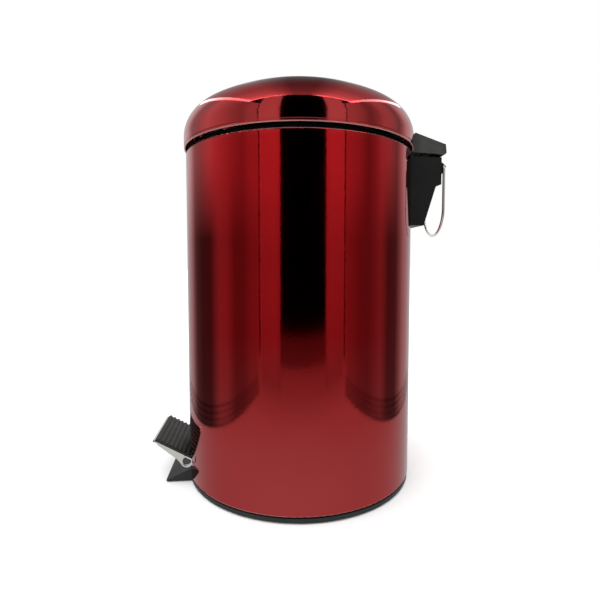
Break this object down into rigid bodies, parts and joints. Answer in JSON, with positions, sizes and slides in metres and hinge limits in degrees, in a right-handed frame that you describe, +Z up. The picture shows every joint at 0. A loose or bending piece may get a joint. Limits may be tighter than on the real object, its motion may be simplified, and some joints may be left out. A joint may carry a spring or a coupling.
{
  "type": "oily waste can",
  "caption": "Round red steel waste can with a self-closing dome lid, a foot pedal that lifts it, a lift-out inner bucket and a wire carrying bail at the back.",
  "frame": {"origin": "on the floor, on the axis of the round body, under the middle of the can", "axes": "+Z up along the body's axis, -Y towards the foot pedal, +Y towards the lid hinge and carrying bail, +X to the can's left as seen from behind"},
  "size_m": [0.2542, 0.3254, 0.4293],
  "materials": {
    "red_lacquered_steel": "candy red lacquer over bright steel, high gloss",
    "black_plastic": "fine satin grain",
    "bucket_plastic": "satin",
    "rubber": "ribbed, matte",
    "polished_wire": "bright plated steel",
    "zinc_plated_steel": "zinc plated"
  },
  "bodies": {
    "can": {"base_ring": "black_plastic", "bottom_plate": "zinc_plated_steel", "base_screws": "zinc_plated_steel", "body_shell": "red_lacquered_steel", "rim_ring": "black_plastic", "hinge_housing": "black_plastic", "housing_screws": "zinc_plated_steel", "hinge_pin": "zinc_plated_steel", "rod_guide_lower": "black_plastic", "rod_guide_upper": "black_plastic", "pivot_bracket": "zinc_plated_steel", "bracket_rivets": "zinc_plated_steel", "pivot_pin": "zinc_plated_steel", "pivot_clips": "zinc_plated_steel"},
    "lid": {"lid_shell": "red_lacquered_steel", "lid_buffers": "rubber", "hinge_cap": "black_plastic", "crank_bracket": "zinc_plated_steel", "lid_rivets": "zinc_plated_steel", "cap_screws": "zinc_plated_steel"},
    "pedal": {"pedal_tread": "polished_wire", "pedal_pad": "rubber", "lever_arm": "zinc_plated_steel", "lever_rivets": "zinc_plated_steel"},
    "rod": {"push_rod": "zinc_plated_steel", "rod_collar": "zinc_plated_steel", "rod_clip": "zinc_plated_steel", "rod_nut": "zinc_plated_steel"},
    "bail": {"carry_bail": "polished_wire"},
    "bucket": {"inner_bucket": "bucket_plastic"},
    "bucket_bow": {"bucket_handle": "zinc_plated_steel", "bucket_grip": "black_plastic"}
  },
  "joints": [
    {"name": "lid_hinge", "type": "hinge", "parent": "can", "child": "lid", "pos_m": [0, 0.1545, 0.3525], "axis": [-1, 0, 0], "range_deg": [0, 70]},
    {"name": "pedal_pivot", "type": "hinge", "parent": "can", "child": "pedal", "pos_m": [0, -0.055, 0.0155], "axis": [1, 0, 0], "range_deg": [0, 8.5]},
    {"name": "rod_lift", "type": "slide", "parent": "can", "child": "rod", "axis": [0, 0, 1], "range_m": [0, 0.0254]},
    {"name": "bail_swing", "type": "hinge", "parent": "can", "child": "bail", "pos_m": [0, 0.1594, 0.3434], "axis": [1, 0, 0], "range_deg": [0, 100]},
    {"name": "bucket_lift", "type": "slide", "parent": "can", "child": "bucket", "axis": [0, 0, 1], "range_m": [0, 0.008]},
    {"name": "bucket_bow_swing", "type": "hinge", "parent": "bucket", "child": "bucket_bow", "pos_m": [0, 0, 0.357], "axis": [-1, 0, 0], "range_deg": [0, 12]}
  ],
  "couplings": [
    {"joint": "pedal_pivot", "follows": "lid_hinge", "ratio": 0.12031},
    {"joint": "rod_lift", "follows": "lid_hinge", "m_per_rad": 0.020633}
  ]
}
